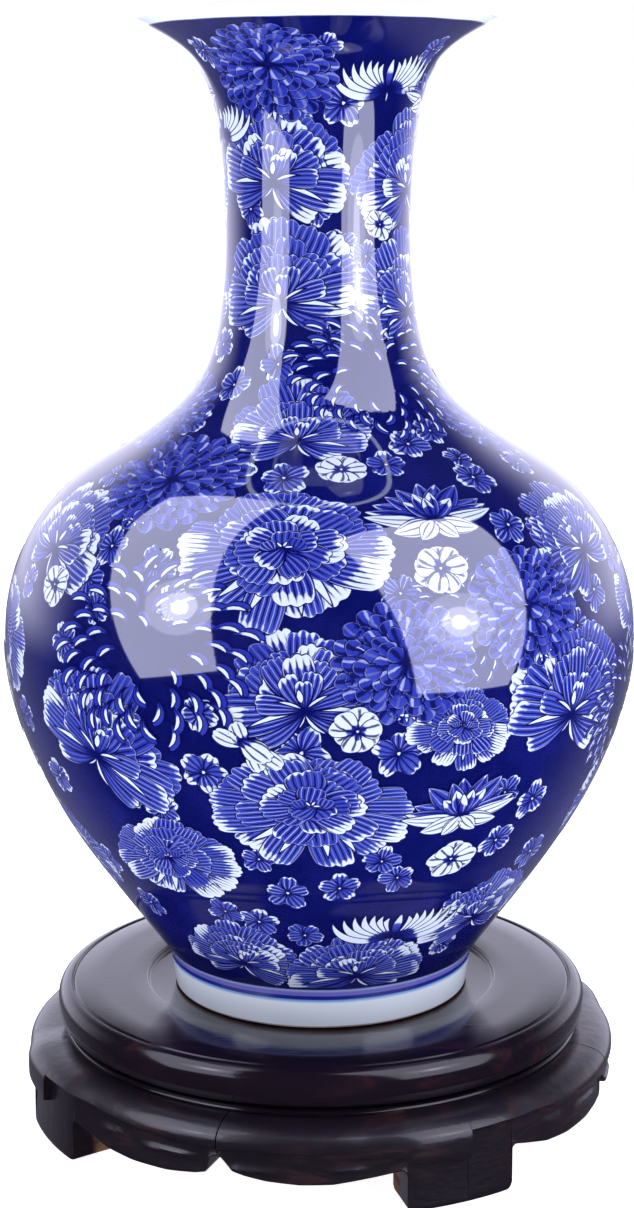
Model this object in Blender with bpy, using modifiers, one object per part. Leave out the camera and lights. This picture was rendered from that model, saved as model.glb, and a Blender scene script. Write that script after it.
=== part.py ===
"""Ball-bellied porcelain vase with a trumpet mouth, on a round carved wooden stand.

The stand is a turned top, a waist ring and four carved base quarters, each with one foot.
The quarters meet in the middle of the apron and are held by dowels, and four screws hold
the top. The vase stands loose in a shallow recess in the top.

Origin: the middle of the stand, on the surface it stands on. +Z up, front towards -Y.
Sizes are in millimetres and become metres where the meshes are made.
"""
import math

import bmesh
import bpy
import numpy as np
from mathutils import Matrix, Vector

MM = 0.001
MERGE_DISTANCE = 0.00005
GAP = 0.3                     # clearance between neighbouring pieces

# Vase: heights are above its own foot, radii from its axis
VASE_SEAT = 42.5              # height of the vase's foot above the floor
VASE_WALL = 4.0
VASE_LIP = 2.8
VASE_OUTLINE = (              # lip to foot: (radius, height) on the outer face
    (59.3, 328.6), (52.5, 325.2), (40.5, 316.5), (32.5, 295.0), (30.5, 263.0), (32.0, 236.0),
    (40.0, 211.0), (59.5, 193.0), (86.5, 175.0), (101.5, 153.0), (107.0, 124.0),
    (100.5, 91.0), (85.5, 60.0), (66.5, 32.0), (54.6, 15.6),
)
FOOT_TOP = (53.0, 12.6)       # where the foot ring leaves the body
FOOT_RADIUS = 51.2
FOOT_EDGE = 0.8               # rounding of the ring's worn bottom edge
FOOT_WIDTH = 5.5
FOOT_DEPTH = 8.0              # the underside's recess inside the ring
INNER_FLOOR = 13.0
INNER_WALL_FROM = 30.0        # the inside follows the outside above this height
OUTLINE_STEPS = 2             # mesh points for each stretch of the outline
INNER_STEPS = 1
VASE_SEGMENTS = 56

# Stand top: a disc with a half-round edge, a fine groove and a shallow recess
TOP_UNDERSIDE = 31.0
TOP_FACE = 44.2
TOP_RADIUS = 92.5
BEAD_DROP = 5.0               # height of each rounding of the edge
BEAD_REACH = 4.5              # width of each rounding of the edge
BEAD_STEPS = 4
GROOVE_RADIUS = 87.4
GROOVE_HALF_WIDTH = 0.5
GROOVE_DEPTH = 0.7
RECESS_RADIUS = 61.0
RECESS_STEP = 0.5
TOP_SEGMENTS = 56

# Waist ring between the top and the base quarters
WAIST_RADIUS = 90.0
WAIST_INNER = 78.0
WAIST_HOLLOW = 0.8
BASE_TOP = 28.4

# Base quarters: foot in the middle, half an apron panel on each side
FOOT_AZIMUTHS = (26.0, 116.0, 206.0, 296.0)      # degrees from the front towards +X
BASE_RADIUS = 102.0
APRON_INNER = 87.0
LEDGE_INNER = 78.0
LEDGE_UNDERSIDE = 21.0
FOOT_HALF_ANGLE = 10.7
FOOT_BULGE = 2.0
FOOT_BULGE_FROM = 17.0        # degrees from the foot's middle where the bulge begins
SHOULDER = ((94.0, 28.4), (97.5, 27.5), (100.2, 25.3), (101.4, 22.4), (101.0, 21.3), (102.0, 20.5))
LOWER_EDGE = (                # (degrees from the foot's middle, height of the apron's edge)
    (-45.0, 17.8), (-43.6, 16.6), (-41.5, 14.2), (-37.0, 11.6), (-31.0, 10.4), (-24.0, 10.4),
    (-16.0, 12.2), (-FOOT_HALF_ANGLE, 14.0), (FOOT_HALF_ANGLE, 15.0), (15.0, 13.0),
    (20.5, 10.3), (27.0, 9.7), (35.0, 10.2), (43.2, 11.6), (43.5, 16.4), (45.0, 17.8),
)
FOOT_STEPS = 4
SIDE_SLOPE = 0.25             # degrees over which a foot's side rises

# Fasteners
DOWEL_RADIUS = 1.5
DOWEL_LENGTH = 16.0
DOWEL_CHAMFER = 0.4
DOWEL_SIDES = 12
DOWEL_PLACES = (("inner", 82.8), ("outer", 95.2))
DOWEL_HEIGHT = 24.7
SCREW_CIRCLE = 83.0           # radius of the circle the four screws stand on
SCREW_HEAD_RADIUS = 3.6
SCREW_HEAD_HEIGHT = 2.2
SCREW_SLOT = (1.0, 1.1)       # width and depth
SCREW_SHANK = 1.6
SCREW_TIP = 37.6
SCREW_THREAD_FROM = 31.6
SCREW_PITCH = 1.5
SCREW_THREAD_DEPTH = 0.3
SCREW_SEGMENTS = 12

PARTS = "porcelain_vase_on_stand"
CUTTERS = "cutters"


# ---------------------------------------------------------------- helpers

def collection(name):
    made = bpy.data.collections.new(name)
    bpy.context.scene.collection.children.link(made)
    return made


def material(name, colour, roughness, metallic=0.0, coat=0.0):
    made = bpy.data.materials.new(name)
    made.use_nodes = True
    made.diffuse_color = (*colour, 1.0)
    shader = made.node_tree.nodes["Principled BSDF"]
    shader.inputs["Base Color"].default_value = (*colour, 1.0)
    shader.inputs["Roughness"].default_value = roughness
    shader.inputs["Metallic"].default_value = metallic
    shader.inputs["Coat Weight"].default_value = coat
    return made


def add_object(name, mesh, group, look=None):
    thing = bpy.data.objects.new(name, mesh)
    bpy.data.collections[group].objects.link(thing)
    if look is not None:
        mesh.materials.append(look)
    if group == CUTTERS:
        thing.hide_render = True
        thing.display_type = "WIRE"
    return thing


def shade(mesh, sharp_degrees=35.0):
    mesh.shade_smooth()
    mesh.set_sharp_from_angle(angle=math.radians(sharp_degrees))


def mesh_from(bm, name):
    bmesh.ops.recalc_face_normals(bm, faces=bm.faces)
    mesh = bpy.data.meshes.new(name)
    bm.to_mesh(mesh)
    bm.free()
    return mesh


def around(radius, azimuth, height):
    """A point, in metres, at an azimuth in degrees from the front (-Y) towards +X."""
    angle = math.radians(azimuth)
    return Vector((radius * math.sin(angle), -radius * math.cos(angle), height)) * MM


def smooth_line(points, steps):
    """Points on a natural cubic spline through the given ones, steps to a stretch."""
    knots = np.array(points, dtype=float)
    lengths = np.hypot(*np.diff(knots, axis=0).T)
    count = len(knots)
    matrix = np.zeros((count, count))
    right = np.zeros((count, 2))
    matrix[0, 0] = matrix[-1, -1] = 1.0
    for i in range(1, count - 1):
        before, after = lengths[i - 1], lengths[i]
        matrix[i, i - 1:i + 2] = before, 2.0 * (before + after), after
        right[i] = 6.0 * ((knots[i + 1] - knots[i]) / after - (knots[i] - knots[i - 1]) / before)
    bend = np.linalg.solve(matrix, right)
    line = []
    for i, length in enumerate(lengths):
        for step in range(steps):
            b = step / steps
            a = 1.0 - b
            point = a * knots[i] + b * knots[i + 1]
            point += ((a ** 3 - a) * bend[i] + (b ** 3 - b) * bend[i + 1]) * length ** 2 / 6.0
            line.append(tuple(point))
    line.append(tuple(knots[-1]))
    return line


def inset_line(line, distance):
    """The line moved to its inner side, square to its own direction."""
    points = np.array(line)
    along = np.gradient(points, axis=0)
    along /= np.hypot(along[:, 0], along[:, 1])[:, None]
    inward = np.column_stack((along[:, 1], -along[:, 0]))
    return [tuple(point) for point in points + inward * distance]


def arc(centre, reach, drop, start, end, steps):
    """Points on part of an ellipse, angles in degrees from outwards towards up."""
    points = []
    for step in range(steps + 1):
        angle = math.radians(start + (end - start) * step / steps)
        points.append((centre[0] + reach * math.cos(angle), centre[1] + drop * math.sin(angle)))
    return points


def turned(name, profile, segments, look, closed=False, group=PARTS):
    """A Screw solid from a profile in millimetres that runs down its outer side."""
    bm = bmesh.new()
    verts = [bm.verts.new((radius * MM, 0.0, height * MM)) for radius, height in profile]
    for first, second in zip(verts, verts[1:] + (verts[:1] if closed else [])):
        bm.edges.new((first, second))
    mesh = bpy.data.meshes.new(name)
    bm.to_mesh(mesh)
    bm.free()
    thing = add_object(name, mesh, group, look)
    screw = thing.modifiers.new("turn", "SCREW")
    screw.steps = screw.render_steps = segments
    screw.use_merge_vertices = True
    screw.merge_threshold = MERGE_DISTANCE
    screw.use_smooth_shade = True
    return thing


def rod(name, radius, length, sides, group, look=None, chamfer=0.0):
    """A round rod along Z with its middle at the origin."""
    bm = bmesh.new()
    bmesh.ops.create_cone(bm, cap_ends=True, segments=sides, radius1=radius * MM,
                          radius2=radius * MM, depth=length * MM)
    if chamfer:
        rims = [edge for edge in bm.edges if any(len(face.verts) == sides for face in edge.link_faces)]
        bmesh.ops.bevel(bm, geom=rims, offset=chamfer * MM, segments=1, affect="EDGES")
    mesh = mesh_from(bm, name)
    shade(mesh)
    return add_object(name, mesh, group, look)


def cut(thing, cutter):
    boolean = thing.modifiers.new("cut_" + cutter.name, "BOOLEAN")
    boolean.operation = "DIFFERENCE"
    boolean.solver = "EXACT"
    boolean.object = cutter


# ---------------------------------------------------------------- vase

def vase_profile():
    """From the middle of the inner floor, up the inside, over the lip and down to the foot."""
    outer = smooth_line(VASE_OUTLINE, OUTLINE_STEPS)
    inner = inset_line(smooth_line(VASE_OUTLINE, INNER_STEPS), VASE_WALL)
    wall = [point for point in inner[1:] if point[1] > INNER_WALL_FROM]
    floor = [(0.0, INNER_FLOOR), (34.0, INNER_FLOOR), (48.0, INNER_FLOOR + 4.0)]
    edge = outer[0]
    lip = [(edge[0] - VASE_LIP * 1.6, edge[1] - 1.0), (edge[0] - VASE_LIP * 0.9, edge[1] + 1.1),
           (edge[0] - VASE_LIP * 0.4, edge[1] + 1.4), (edge[0] - 0.1, edge[1] + 0.9)]
    inner_ring = FOOT_RADIUS - FOOT_WIDTH
    foot = [FOOT_TOP, (FOOT_RADIUS, FOOT_EDGE), (FOOT_RADIUS - FOOT_EDGE, 0.0),
            (inner_ring, 0.0), (inner_ring - FOOT_EDGE, FOOT_EDGE),
            (inner_ring - 1.5, FOOT_DEPTH), (0.0, FOOT_DEPTH)]
    return floor + wall[::-1] + lip + outer + foot


def build_vase():
    porcelain = material("cobalt_porcelain", (0.02, 0.03, 0.27), 0.08, coat=1.0)
    profile = [(radius, height + VASE_SEAT) for radius, height in vase_profile()]
    return turned("vase_body", profile, VASE_SEGMENTS, porcelain)


# ---------------------------------------------------------------- stand

def top_profile():
    recess = VASE_SEAT - GAP
    rim = GROOVE_RADIUS + GROOVE_HALF_WIDTH
    shoulder = TOP_RADIUS - BEAD_REACH
    upper = arc((shoulder, TOP_FACE - BEAD_DROP), BEAD_REACH, BEAD_DROP, 90.0, 0.0, BEAD_STEPS)
    lower = arc((shoulder, TOP_UNDERSIDE + BEAD_DROP), BEAD_REACH, BEAD_DROP, 0.0, -90.0, BEAD_STEPS)
    return [(0.0, recess), (RECESS_RADIUS - RECESS_STEP, recess), (RECESS_RADIUS, TOP_FACE),
            (GROOVE_RADIUS - GROOVE_HALF_WIDTH, TOP_FACE), (GROOVE_RADIUS, TOP_FACE - GROOVE_DEPTH),
            (rim, TOP_FACE)] + upper[1:] + lower + [(0.0, TOP_UNDERSIDE)]


def waist_profile():
    upper = TOP_UNDERSIDE - GAP
    lower = BASE_TOP + GAP
    return [(WAIST_RADIUS, upper), (WAIST_RADIUS - WAIST_HOLLOW, (upper + lower) / 2.0),
            (WAIST_RADIUS, lower), (WAIST_INNER, lower), (WAIST_INNER, upper)]


def lower_edge(offset):
    """Height of a quarter's lower edge, offset degrees from the middle of its foot."""
    if abs(offset) < FOOT_HALF_ANGLE:
        return 0.0
    angles, heights = zip(*LOWER_EDGE)
    return float(np.interp(offset, angles, heights))


def quarter_columns():
    """Where a quarter's cross-section is set out, in degrees from the middle of its foot."""
    end = 45.0 - math.degrees(GAP / 2.0 / BASE_RADIUS)
    columns = [min(max(angle, -end), end) for angle, _ in LOWER_EDGE]
    inside = FOOT_HALF_ANGLE - SIDE_SLOPE
    columns += [-inside + 2.0 * inside * step / FOOT_STEPS for step in range(FOOT_STEPS + 1)]
    return sorted(columns)


def quarter_section(offset):
    """A quarter's cross-section, as (radius, height), offset degrees from its foot."""
    away = min(max((FOOT_BULGE_FROM - abs(offset)) / (FOOT_BULGE_FROM - FOOT_HALF_ANGLE), 0.0), 1.0)
    bulge = FOOT_BULGE * away * away * (3.0 - 2.0 * away)
    bottom = lower_edge(offset)
    shoulder = [(radius + bulge, height) for radius, height in SHOULDER[:4]]
    return ([(LEDGE_INNER, BASE_TOP)] + shoulder + list(SHOULDER[4:])
            + [(BASE_RADIUS, bottom), (APRON_INNER, bottom),
               (APRON_INNER, LEDGE_UNDERSIDE), (LEDGE_INNER, LEDGE_UNDERSIDE)])


def build_quarter(number, azimuth, look):
    """Loft the cross-section round a quarter of the ring, a face for each pair of columns."""
    name = "base_quarter_%d" % number
    bm = bmesh.new()
    rings = []
    for offset in quarter_columns():
        rings.append([bm.verts.new(around(radius, azimuth + offset, height))
                      for radius, height in quarter_section(offset)])
    count = len(rings[0])
    for ring, following in zip(rings, rings[1:]):
        for i in range(count):
            j = (i + 1) % count
            bm.faces.new((ring[i], following[i], following[j], ring[j]))
    bm.faces.new(rings[0])
    bm.faces.new(rings[-1])
    mesh = mesh_from(bm, name)
    shade(mesh)
    return add_object(name, mesh, PARTS, look)


def build_stand():
    lacquer = material("lacquered_rosewood", (0.028, 0.014, 0.018), 0.22, coat=0.6)
    top = turned("stand_top", top_profile(), TOP_SEGMENTS, lacquer)
    waist = turned("stand_waist", waist_profile(), TOP_SEGMENTS, lacquer, closed=True)
    quarters = [build_quarter(number, azimuth, lacquer)
                for number, azimuth in enumerate(FOOT_AZIMUTHS, start=1)]
    return top, waist, quarters


# ---------------------------------------------------------------- fasteners

def build_dowels(quarters):
    """Two dowels across each joint between one quarter and the next."""
    beech = material("beech_dowel", (0.55, 0.38, 0.22), 0.6)
    for number, quarter in enumerate(quarters, start=1):
        joint = FOOT_AZIMUTHS[number - 1] + 45.0
        following = quarters[number % len(quarters)]
        for place, radius in DOWEL_PLACES:
            turn = Matrix.Rotation(math.radians(joint), 4, "Z") @ Matrix.Rotation(math.pi / 2, 4, "Y")
            pose = Matrix.Translation(around(radius, joint, DOWEL_HEIGHT)) @ turn
            name = "joint_dowel_%d_%s" % (number, place)
            dowel = rod(name, DOWEL_RADIUS, DOWEL_LENGTH, DOWEL_SIDES, PARTS, beech, DOWEL_CHAMFER)
            dowel.matrix_world = pose
            bore = rod("bore_" + name, DOWEL_RADIUS + GAP, DOWEL_LENGTH + 2.0 * GAP,
                       DOWEL_SIDES, CUTTERS)
            bore.matrix_world = pose
            cut(quarter, bore)
            cut(following, bore)


def screw_profile():
    """Tip at the top, head at the bottom, with saw-tooth rings for the thread."""
    head_top = LEDGE_UNDERSIDE - GAP
    head_bottom = head_top - SCREW_HEAD_HEIGHT
    root = SCREW_SHANK - SCREW_THREAD_DEPTH
    profile = [(0.0, SCREW_TIP), (root, SCREW_TIP - SCREW_PITCH)]
    height = SCREW_TIP - 1.5 * SCREW_PITCH
    while height > SCREW_THREAD_FROM:
        profile += [(SCREW_SHANK, height), (root, height - SCREW_PITCH / 2.0)]
        height -= SCREW_PITCH
    return profile + [(SCREW_SHANK, SCREW_THREAD_FROM - SCREW_PITCH), (SCREW_SHANK, head_top),
                      (SCREW_HEAD_RADIUS, head_top), (SCREW_HEAD_RADIUS, head_bottom + 0.5),
                      (SCREW_HEAD_RADIUS - 0.6, head_bottom), (0.0, head_bottom)]


def build_screws(top, waist, quarters):
    """One screw behind each foot, up through the ledge and the waist into the top."""
    steel = material("zinc_screw", (0.55, 0.54, 0.50), 0.35, metallic=1.0)
    head_bottom = LEDGE_UNDERSIDE - GAP - SCREW_HEAD_HEIGHT
    for number, azimuth in enumerate(FOOT_AZIMUTHS, start=1):
        name = "top_screw_%d" % number
        foot = around(SCREW_CIRCLE, azimuth, 0.0)
        screw = turned(name, screw_profile(), SCREW_SEGMENTS, steel)
        screw.matrix_world = Matrix.Translation(foot)
        bm = bmesh.new()
        bmesh.ops.create_cube(bm, size=1.0)
        width, depth = SCREW_SLOT
        size = Vector((width, 3.0 * SCREW_HEAD_RADIUS, 2.0 * depth)) * MM
        bmesh.ops.scale(bm, vec=size, verts=bm.verts)
        slot = add_object("slot_" + name, mesh_from(bm, "slot"), CUTTERS)
        turn = Matrix.Rotation(math.radians(azimuth + 20.0), 4, "Z")
        slot.matrix_world = Matrix.Translation(foot + Vector((0.0, 0.0, head_bottom * MM))) @ turn
        cut(screw, slot)
        low = LEDGE_UNDERSIDE - 1.0
        high = SCREW_TIP + GAP
        bore = rod("bore_" + name, SCREW_SHANK + GAP, high - low, SCREW_SEGMENTS, CUTTERS)
        bore.matrix_world = Matrix.Translation(foot + Vector((0.0, 0.0, (low + high) / 2.0 * MM)))
        for piece in (top, waist, quarters[number - 1]):
            cut(piece, bore)


def main():
    for thing in list(bpy.data.objects):
        bpy.data.objects.remove(thing, do_unlink=True)
    collection(PARTS)
    collection(CUTTERS)
    build_vase()
    top, waist, quarters = build_stand()
    build_dowels(quarters)
    build_screws(top, waist, quarters)


main()
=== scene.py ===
"""Blue and white porcelain vase on a round carved stand: its looks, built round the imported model.

Laid out as an add-on with one operator for each group of pieces, and run as a script.
Lengths in this file are millimetres, times MM where they become Blender units.
"""
import math
import random

import bmesh
import bpy
import numpy as np
from mathutils import Matrix, Vector


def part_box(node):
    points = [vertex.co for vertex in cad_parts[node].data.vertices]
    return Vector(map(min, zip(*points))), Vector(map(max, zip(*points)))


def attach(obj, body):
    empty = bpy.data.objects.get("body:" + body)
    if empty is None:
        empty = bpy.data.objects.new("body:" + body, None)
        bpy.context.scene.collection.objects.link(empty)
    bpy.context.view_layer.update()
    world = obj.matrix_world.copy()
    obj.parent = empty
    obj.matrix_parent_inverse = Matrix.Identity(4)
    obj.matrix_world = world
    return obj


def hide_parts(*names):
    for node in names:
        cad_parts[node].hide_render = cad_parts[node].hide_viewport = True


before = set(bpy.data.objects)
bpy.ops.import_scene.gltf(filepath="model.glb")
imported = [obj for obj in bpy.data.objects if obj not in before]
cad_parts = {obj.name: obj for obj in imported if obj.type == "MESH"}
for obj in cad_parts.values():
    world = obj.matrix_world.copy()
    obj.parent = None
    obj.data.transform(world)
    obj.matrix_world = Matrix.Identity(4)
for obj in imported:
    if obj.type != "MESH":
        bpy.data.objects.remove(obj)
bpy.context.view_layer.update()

bl_info = {
    "name": "Blue and white vase",
    "version": (1, 0, 0),
    "blender": (4, 5, 0),
    "location": "View3D > Sidebar > Vase",
    "description": "Builds a porcelain vase with a printed flower glaze and its carved stand",
    "category": "Object",
}

MM = 0.001
SAME_POINT = 0.002 * MM    # points closer than this are merged
VASE_BODY = "vase"
STAND_BODY = "stand"

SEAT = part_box("vase_body")[0].z / MM          # the vase's foot, above the floor
VASE_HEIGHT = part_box("vase_body")[1].z / MM - SEAT
TOP_LOW, TOP_HIGH = (corner.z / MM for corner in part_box("stand_top"))
TOP_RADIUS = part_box("stand_top")[1].x / MM
BASE_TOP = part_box("base_quarter_1")[1].z / MM
WAIST_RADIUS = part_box("stand_waist")[1].x / MM

# The vase's outer face, lip to foot: (radius, height above its foot)
VASE_OUTLINE = (
    (59.3, 328.6), (52.5, 325.2), (40.5, 316.5), (32.5, 295.0), (30.5, 263.0), (32.0, 236.0),
    (40.0, 211.0), (59.5, 193.0), (86.5, 175.0), (101.5, 153.0), (107.0, 124.0),
    (100.5, 91.0), (85.5, 60.0), (66.5, 32.0), (54.6, 15.6),
)
FOOT_AZIMUTHS = (26.0, 116.0, 206.0, 296.0)   # degrees from the front towards +X


# ---------------------------------------------------------------- settings

def swatch(name, description, default):
    """A colour in the sidebar."""
    return bpy.props.FloatVectorProperty(
        name=name, description=description, subtype="COLOR", size=3, default=default)


class VaseSettings(bpy.types.PropertyGroup):
    wall: bpy.props.FloatProperty(
        name="Wall", description="Thickness of the porcelain wall, in millimetres", default=4.0)
    around: bpy.props.IntProperty(
        name="Faces around", description="Faces round the vase", default=224, min=32)
    ground: swatch("Ground", "Cobalt ground", (0.0022, 0.0040, 0.076))
    wash: swatch("Wash", "Thin places in the ground", (0.0070, 0.0085, 0.130))
    petal: swatch("Petal", "Mid blue of the petals", (0.019, 0.029, 0.300))
    petal_pale: swatch("Pale petal", "Palest blue of the petals", (0.088, 0.130, 0.470))
    white: swatch("White", "White left in the flowers", (0.610, 0.680, 0.780))
    line: swatch("Line", "Drawn outlines and veins", (0.0020, 0.0032, 0.076))


class StandSettings(bpy.types.PropertyGroup):
    lacquer: swatch("Lacquer", "Dark lacquer", (0.0075, 0.0045, 0.0085))
    thin_lacquer: swatch("Thin lacquer", "Lacquer over edges and pores", (0.034, 0.011, 0.013))
    bare_wood: swatch("Bare wood", "Sawn wood inside the feet", (0.190, 0.075, 0.035))


class StageSettings(bpy.types.PropertyGroup):
    lens: bpy.props.FloatProperty(
        name="Lens", description="Camera focal length, in millimetres", default=67.0)
    distance: bpy.props.FloatProperty(
        name="Distance", description="Camera to the vase's axis, in millimetres", default=757.8)
    softbox: bpy.props.FloatProperty(
        name="Softbox", description="Radiance of the two softboxes", default=2.6)


# ---------------------------------------------------------------- shader maths

class Value:
    """A number socket that can be used in Python expressions."""

    def __init__(self, look, socket):
        self.look = look
        self.socket = socket

    def _math(self, operation, *numbers):
        node = self.look.node("ShaderNodeMath", {"operation": operation}, dict(enumerate(numbers)))
        return Value(self.look, node.outputs[0])

    def __add__(self, other):
        return self._math("ADD", self, other)

    __radd__ = __add__

    def __mul__(self, other):
        return self._math("MULTIPLY", self, other)

    __rmul__ = __mul__

    def __sub__(self, other):
        return self._math("SUBTRACT", self, other)

    def __rsub__(self, other):
        return self._math("SUBTRACT", other, self)

    def __truediv__(self, other):
        return self._math("DIVIDE", self, other)

    def least(self, other):
        return self._math("MINIMUM", self, other)

    def root(self):
        return self._math("SQRT", self)

    def cosine(self):
        return self._math("COSINE", self)

    def ramp(self, start, end, low=0.0, high=1.0):
        """Low before start, high past end and a smooth step between."""
        node = self.look.node("ShaderNodeMapRange", {"interpolation_type": "SMOOTHSTEP"},
                              {0: self, 1: start, 2: end, 3: low, 4: high})
        return Value(self.look, node.outputs[0])

    def rise(self, low, high):
        """0 before low, 1 past high and a smooth step between; high may be the lower one."""
        step = self.ramp(min(low, high), max(low, high))
        return step if low <= high else 1.0 - step


class Nodes:
    """A node tree under construction."""

    def __init__(self, tree):
        self.tree = tree

    def node(self, kind, settings=None, inputs=None):
        """A new node: its settings first, then the values or links of its sockets."""
        made = self.tree.nodes.new(kind)
        for name, value in (settings or {}).items():
            setattr(made, name, value)
        for key, value in (inputs or {}).items():
            if isinstance(value, Value):
                value = value.socket
            if isinstance(value, bpy.types.NodeSocket):
                self.tree.links.new(value, made.inputs[key])
            else:
                made.inputs[key].default_value = value
        return made

    def parts(self, vector):
        """The three numbers of a vector."""
        split = self.node("ShaderNodeSeparateXYZ", None, {0: vector})
        return [Value(self, part) for part in split.outputs]


class Look(Nodes):
    """A material under construction, with one Principled shader."""

    def __init__(self, name, **constants):
        self.material = bpy.data.materials.new(name)
        self.material.use_nodes = True
        super().__init__(self.material.node_tree)
        self.shader = self.tree.nodes["Principled BSDF"]
        for socket, value in constants.items():
            self.shader.inputs[socket.replace("_", " ")].default_value = value

    def place(self, scale=(1.0, 1.0, 1.0)):
        """Object coordinates, stretched."""
        place = self.node("ShaderNodeTexCoord").outputs["Object"]
        return self.node("ShaderNodeMapping", None, {"Vector": place, "Scale": scale}).outputs[0]

    def attribute(self, name):
        """The three numbers of a vector attribute."""
        return self.parts(self.node("ShaderNodeAttribute", {"attribute_name": name}).outputs["Vector"])

    def noise(self, scale, detail=3.0, roughness=0.5, stretch=(1.0, 1.0, 1.0), distortion=0.0):
        node = self.node("ShaderNodeTexNoise", None, {
            "Vector": self.place(stretch), "Scale": scale, "Detail": detail,
            "Roughness": roughness, "Distortion": distortion})
        return Value(self, node.outputs["Fac"])

    def mix(self, share, first, second):
        """First colour where share is 0, second where it is 1."""
        first, second = (colour if isinstance(colour, bpy.types.NodeSocket) else (*colour, 1.0)
                         for colour in (first, second))
        node = self.node("ShaderNodeMix", {"data_type": "RGBA"}, {0: share, 6: first, 7: second})
        return node.outputs[2]

    def link(self, socket, value):
        self.tree.links.new(value.socket if isinstance(value, Value) else value,
                            self.shader.inputs[socket])

    def bump(self, height, strength, distance):
        node = self.node("ShaderNodeBump", None,
                         {"Height": height, "Strength": strength, "Distance": distance})
        self.link("Normal", node.outputs[0])


# ---------------------------------------------------------------- shapes

def smooth_line(points, steps):
    """Points on a natural cubic spline through the given ones, steps to a stretch."""
    knots = np.array(points, dtype=float)
    lengths = np.hypot(*np.diff(knots, axis=0).T)
    count = len(knots)
    matrix = np.zeros((count, count))
    right = np.zeros((count, 2))
    matrix[0, 0] = matrix[-1, -1] = 1.0
    for i in range(1, count - 1):
        before, after = lengths[i - 1], lengths[i]
        matrix[i, i - 1:i + 2] = before, 2.0 * (before + after), after
        right[i] = 6.0 * ((knots[i + 1] - knots[i]) / after - (knots[i] - knots[i - 1]) / before)
    bend = np.linalg.solve(matrix, right)
    line = []
    for i, length in enumerate(lengths):
        for step in range(steps):
            b = step / steps
            a = 1.0 - b
            point = a * knots[i] + b * knots[i + 1]
            point += ((a ** 3 - a) * bend[i] + (b ** 3 - b) * bend[i + 1]) * length ** 2 / 6.0
            line.append(tuple(point))
    line.append(tuple(knots[-1]))
    return line


def directions(line):
    """Unit directions along a line of (radius, height) points."""
    along = np.gradient(np.array(line), axis=0)
    return along / np.hypot(along[:, 0], along[:, 1])[:, None]


def arc(centre, reach, drop, start, end, steps):
    """Points on part of an ellipse, angles in degrees from outwards towards up."""
    turns = np.radians(np.linspace(start, end, steps + 1))
    return [(centre[0] + reach * math.cos(a), centre[1] + drop * math.sin(a)) for a in turns]


def spun(name, profile, faces_around):
    """Extrude a profile of (radius, height) point by point and spin it into a closed piece."""
    bpy.ops.object.select_all(action="DESELECT")
    start = Vector((profile[0][0], 0.0, profile[0][1])) * MM
    bpy.ops.mesh.primitive_plane_add(size=MM, location=start)
    piece = bpy.context.object
    piece.name = piece.data.name = name
    bpy.ops.object.mode_set(mode="EDIT")
    bpy.ops.mesh.merge(type="CENTER")
    for first, second in zip(profile, profile[1:]):
        move = Vector((second[0] - first[0], 0.0, second[1] - first[1])) * MM
        bpy.ops.mesh.extrude_region_move(TRANSFORM_OT_translate={"value": move})
    bpy.ops.mesh.select_all(action="SELECT")
    bpy.ops.mesh.spin(steps=faces_around, angle=math.tau,
                      center=(0.0, 0.0, 0.0), axis=(0.0, 0.0, 1.0))
    bpy.ops.mesh.select_all(action="SELECT")
    bpy.ops.mesh.remove_doubles(threshold=SAME_POINT)
    bpy.ops.mesh.normals_make_consistent(inside=False)
    bpy.ops.object.mode_set(mode="OBJECT")
    bpy.ops.object.transform_apply(location=True, rotation=True, scale=True)
    return piece


def finish_piece(piece, body, looks, replaced=(), sharp=None):
    """Materials, creases over sharp degrees, and the body and CAD nodes it stands for."""
    for look in looks:
        piece.data.materials.append(look)
    if sharp is not None:
        bpy.ops.object.select_all(action="DESELECT")
        piece.select_set(True)
        bpy.context.view_layer.objects.active = piece
        bpy.ops.object.shade_smooth_by_angle(angle=math.radians(sharp))
    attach(piece, body)
    if replaced:
        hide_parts(*replaced)


def chosen(group):
    """One group of the sidebar's settings."""
    return getattr(bpy.context.scene, group)


# ---------------------------------------------------------------- vase shell

OUTLINE_STEPS = 12                # rows of faces to a stretch of the outline
MOUTH_ROWS = 7                    # rows at the lip that the inside leaves to the lip's roll
WALL_END = 22.0                   # the inner wall turns into the floor here
INNER_FLOOR = 13.0
FLOOR_DISH = ((0.0, 0.0), (30.0, 0.3), (46.0, 3.0))       # radius and rise of the inner floor
FOOT_TOP = (53.0, 12.6)
FOOT_HOLLOW = ((53.4, 13.9), FOOT_TOP, (52.6, 10.0))      # the turn from the belly into the foot
FOOT_RADIUS = 51.2
FOOT_EDGE = 0.8                   # rounding of the foot ring's lower edges
FOOT_WIDTH = 5.5
FOOT_DEPTH = 8.0
UNDERSIDE = ((-1.5, -1.0), (-3.0, 0.0))     # steps from the ring's inner face to the recess
LIP_HALF = 1.5                    # half the thickness of the rolled lip
LIP_WHITE = 326.3                 # the outside is white above this height
PLAIN_WHITE = (0.90, 0.98, 1.00)  # bare white under the clear glaze
FOOT_BANDS = (                    # glaze above the foot, downwards: where each fades in, and colour
    (14.6, 14.2, (0.33, 0.40, 0.72)), (13.7, 13.2, (0.17, 0.16, 0.55)),
    (12.1, 11.8, (0.016, 0.020, 0.26)), (10.7, 10.3, (0.20, 0.45, 0.80)), (10.2, 9.1, PLAIN_WHITE),
)
GLAZE, CLAY = 1, 2                # the shell's material slots beside the cobalt ground
SKIN_DEPTH = 1.6                  # faces this close to the outline are the outer ones


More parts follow.
